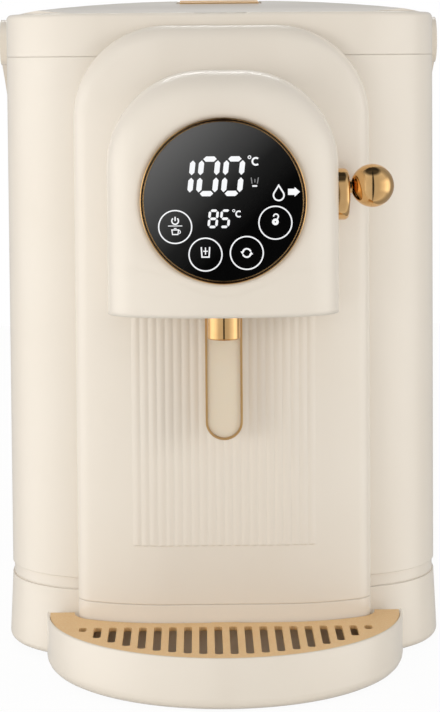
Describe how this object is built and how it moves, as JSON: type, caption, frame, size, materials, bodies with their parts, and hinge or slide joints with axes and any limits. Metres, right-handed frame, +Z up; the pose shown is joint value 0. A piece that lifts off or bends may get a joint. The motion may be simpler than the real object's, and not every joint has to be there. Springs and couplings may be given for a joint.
{
  "type": "hot water dispenser",
  "caption": "Countertop hot water dispenser with an upright tank body, round display, nozzle, cup lever, side ball lever, hinged lid, carrying handle and drip tray.",
  "frame": {"origin": "on the table, under the middle of the footprint", "axes": "+Z up, the front with the display faces -Y, +X is on the right of the front"},
  "size_m": [0.231, 0.3216, 0.326],
  "materials": {
    "ivory_abs": "satin gloss ivory",
    "gold_plate": "polished warm gold",
    "gold_paint": "satin gold",
    "black_glass": "black window",
    "milky_paddle": "milky warm cream",
    "stainless": "brushed",
    "steel": "plain",
    "silicone": "matte",
    "black_rubber": "matte",
    "black_plastic": "matte",
    "grey_plastic": "matte",
    "circuit_board": "solder mask"
  },
  "bodies": {
    "pot": {"body_shell": "ivory_abs", "base_housing": "ivory_abs", "column_foot": "ivory_abs", "base_plate": "ivory_abs", "foot_pads": "black_rubber", "base_screws": "steel", "collar": "ivory_abs", "mouth_deck": "ivory_abs", "front_column": "ivory_abs", "dispensing_head": "ivory_abs", "head_floor": "ivory_abs", "bezel_ring": "gold_plate", "display_glass": "black_glass", "display_board": "circuit_board", "nozzle": "gold_plate", "lever_rosette": "gold_plate", "lever_bracket": "steel", "lever_pin": "steel", "lever_spring": "steel", "dispense_switch": "black_plastic", "cup_lever_pin": "steel", "cup_switch": "black_plastic", "inner_tank": "stainless", "tank_floor": "stainless", "tank_seal": "silicone", "heater_ring": "steel", "thermostat": "black_plastic", "pump_housing": "black_plastic", "pump_motor": "steel", "suction_hose": "silicone", "riser_hose": "silicone", "power_board": "circuit_board", "power_inlet": "black_plastic", "inlet_pins": "steel", "handle_pins": "steel", "handle_washers": "black_plastic", "lid_hinge_pin": "steel"},
    "lid": {"lid_cover": "ivory_abs", "lid_liner": "stainless", "lid_gasket": "silicone", "steam_vent": "ivory_abs", "release_pin": "steel", "latch_spring": "steel"},
    "release": {"release_lever": "gold_paint"},
    "bolt": {"latch_bolt": "grey_plastic"},
    "handle": {"handle_bail": "ivory_abs"},
    "ball_lever": {"lever_stem": "gold_plate", "lever_ball": "gold_plate"},
    "cup_lever": {"cup_lever_rim": "gold_plate", "cup_paddle": "milky_paddle"},
    "tray": {"drip_tray": "ivory_abs"},
    "grille": {"drip_grille": "gold_paint"},
    "impeller": {"pump_impeller": "grey_plastic"}
  },
  "joints": [
    {"name": "lid_hinge", "type": "hinge", "parent": "pot", "child": "lid", "pos_m": [0, 0.13372, 0.319], "axis": [-1, 0, 0], "range_deg": [0, 75]},
    {"name": "release_hinge", "type": "hinge", "parent": "lid", "child": "release", "pos_m": [0, -0.01828, 0.3221], "axis": [1, 0, 0], "range_deg": [0, 27], "stiffness_Nm_per_rad": 0.06, "springref_deg": -11.46},
    {"name": "latch_slide", "type": "slide", "parent": "lid", "child": "bolt", "axis": [0, 1, 0], "range_m": [0, 0.004], "deforming": ["latch_spring"]},
    {"name": "handle_swing", "type": "hinge", "parent": "pot", "child": "handle", "pos_m": [0, 0.03572, 0.305], "axis": [1, 0, 0], "range_deg": [0, 120]},
    {"name": "ball_lever_press", "type": "hinge", "parent": "pot", "child": "ball_lever", "pos_m": [0.03, -0.10428, 0.2335], "axis": [0, 1, 0], "range_deg": [0, 15], "stiffness_Nm_per_rad": 0.3, "springref_deg": -11.46, "deforming": ["lever_spring"]},
    {"name": "cup_lever_push", "type": "hinge", "parent": "pot", "child": "cup_lever", "pos_m": [0, -0.11028, 0.186], "axis": [1, 0, 0], "range_deg": [0, 9], "stiffness_Nm_per_rad": 0.06, "springref_deg": -11.46},
    {"name": "tray_pull", "type": "slide", "parent": "pot", "child": "tray", "axis": [0, -1, 0], "range_m": [0, 0.1]},
    {"name": "grille_lift", "type": "slide", "parent": "tray", "child": "grille", "axis": [0, 0, 1], "range_m": [0, 0.04]},
    {"name": "impeller_spin", "type": "hinge", "parent": "pot", "child": "impeller", "pos_m": [0, -0.01628, 0.0235], "axis": [0, 0, 1], "continuous": true}
  ],
  "couplings": [
    {"joint": "latch_slide", "follows": "release_hinge", "m_per_rad": 0.0078}
  ]
}
